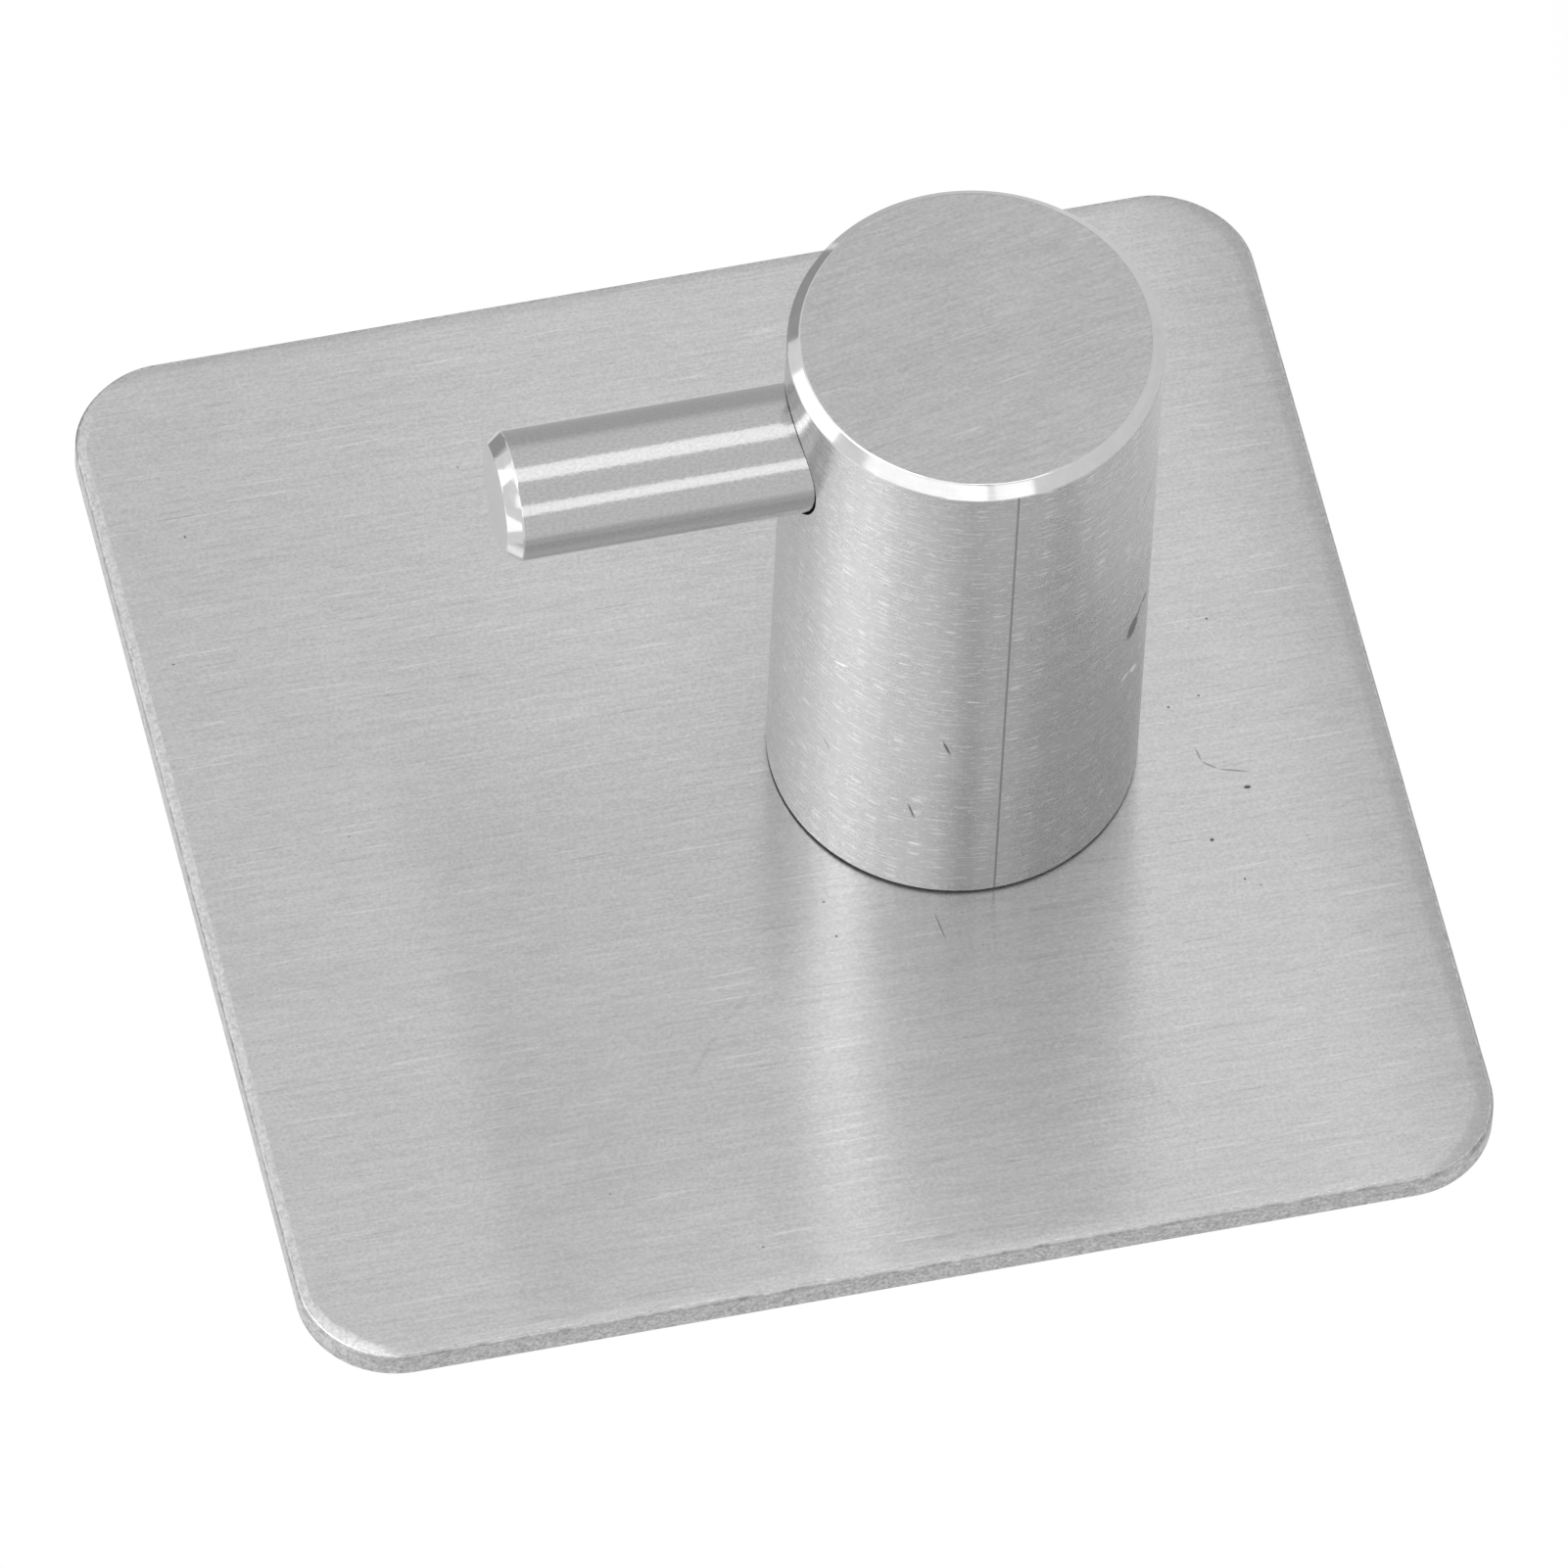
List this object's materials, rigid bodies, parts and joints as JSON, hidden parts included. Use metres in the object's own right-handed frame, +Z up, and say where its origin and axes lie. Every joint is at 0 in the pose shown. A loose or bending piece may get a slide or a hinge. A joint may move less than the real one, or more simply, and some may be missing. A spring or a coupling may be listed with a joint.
{
  "type": "adhesive wall hook",
  "caption": "Brushed steel stick-on wall hook: a square plate with rounded corners, a thick round post standing out from it, and a thin peg pointing up near the post's end to keep a loop on.",
  "frame": {"origin": "middle of the tape's wall side, on the plate's centre", "axes": "+Y into the wall, so the hook stands out towards -Y; +Z up, the way the peg points; +X to the right for someone facing the wall"},
  "size_m": [0.045, 0.0283, 0.045],
  "materials": {
    "plate_steel": "straight brushed grain",
    "post_steel": "turned, with a brushed end face",
    "peg_steel": "turned, nearly polished",
    "screw_steel": "plain machined",
    "foam_tape": "grey acrylic foam with a tacky satin face"
  },
  "bodies": {
    "root": {"back_plate": "plate_steel", "post": "post_steel", "peg": "peg_steel", "post_screw": "screw_steel", "adhesive_pad": "foam_tape"}
  },
  "joints": []
}
